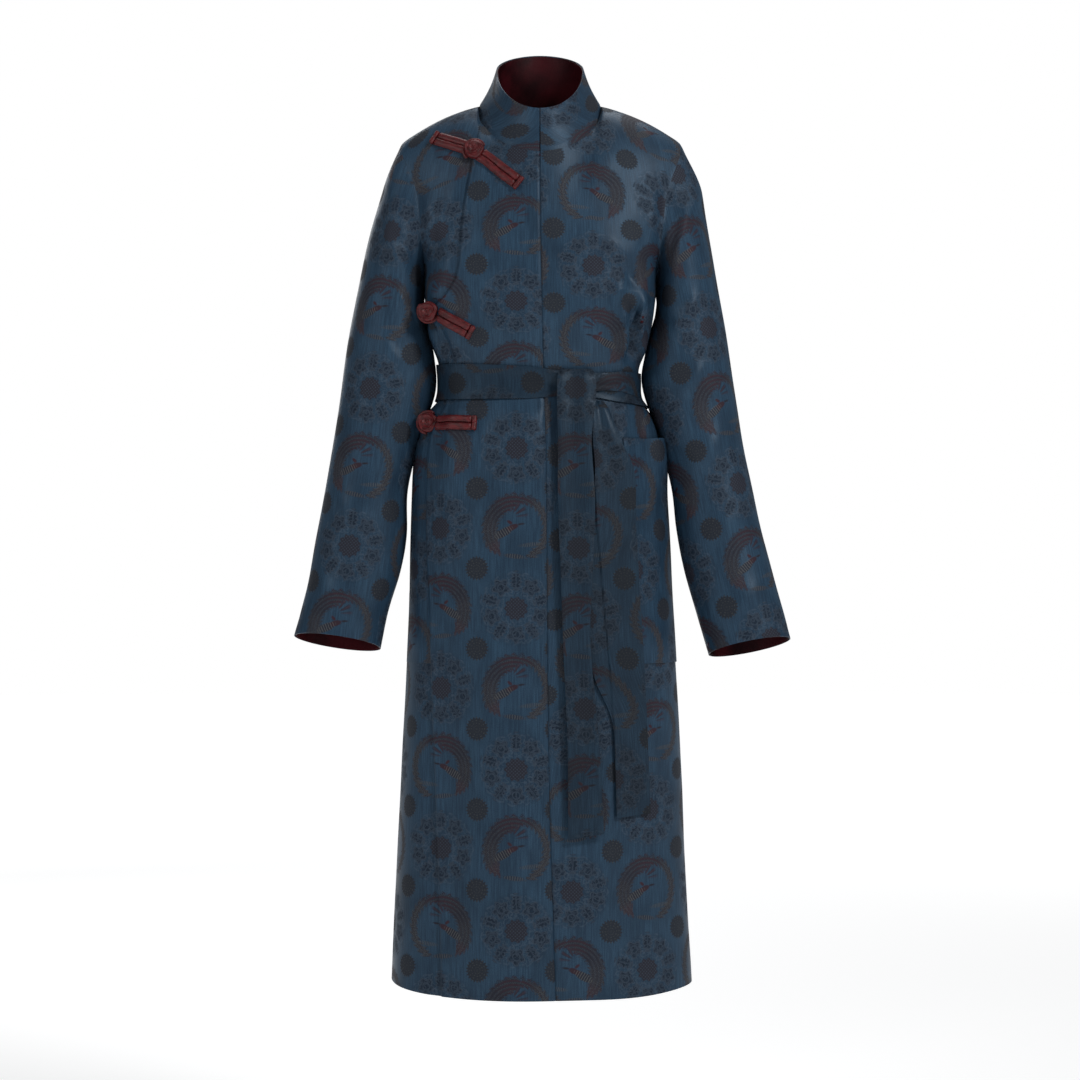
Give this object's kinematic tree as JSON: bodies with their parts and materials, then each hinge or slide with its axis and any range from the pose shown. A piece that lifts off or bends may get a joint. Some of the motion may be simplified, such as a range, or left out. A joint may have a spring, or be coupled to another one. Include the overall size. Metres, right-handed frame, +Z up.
{
  "type": "brocade wrap coat",
  "caption": "Long dark teal brocade wrap coat with a stand collar, wide cut-in-one sleeves, burgundy frog closures and a knotted tie belt.",
  "frame": {"origin": "centre of the neck at the height of the shoulder tips, where the wearer's shoulders carry the coat", "axes": "+Z up, -Y towards the front of the coat, +X towards the wearer's left"},
  "size_m": [0.642, 0.2555, 1.2257],
  "materials": {
    "brocade": "satin",
    "lining": "satin",
    "frog_satin": "satin"
  },
  "bodies": {
    "root": {"front_left": "brocade", "front_overlap": "brocade", "front_under": "brocade", "back": "brocade", "sleeve_right": "brocade", "sleeve_left": "brocade", "collar": "brocade", "pocket_left": "brocade", "pocket_right": "brocade", "belt_band": "brocade", "belt_knot": "brocade", "belt_tail_front": "brocade", "belt_tail_back": "brocade", "collar_lining": "lining", "cuff_lining_right": "lining", "cuff_lining_left": "lining", "frog_1_wing_upper": "frog_satin", "frog_1_wing_lower": "frog_satin", "frog_1_button": "frog_satin", "frog_2_wing_lower": "frog_satin", "frog_2_button": "frog_satin", "frog_3_wing_lower": "frog_satin", "frog_3_button": "frog_satin"}
  },
  "joints": []
}
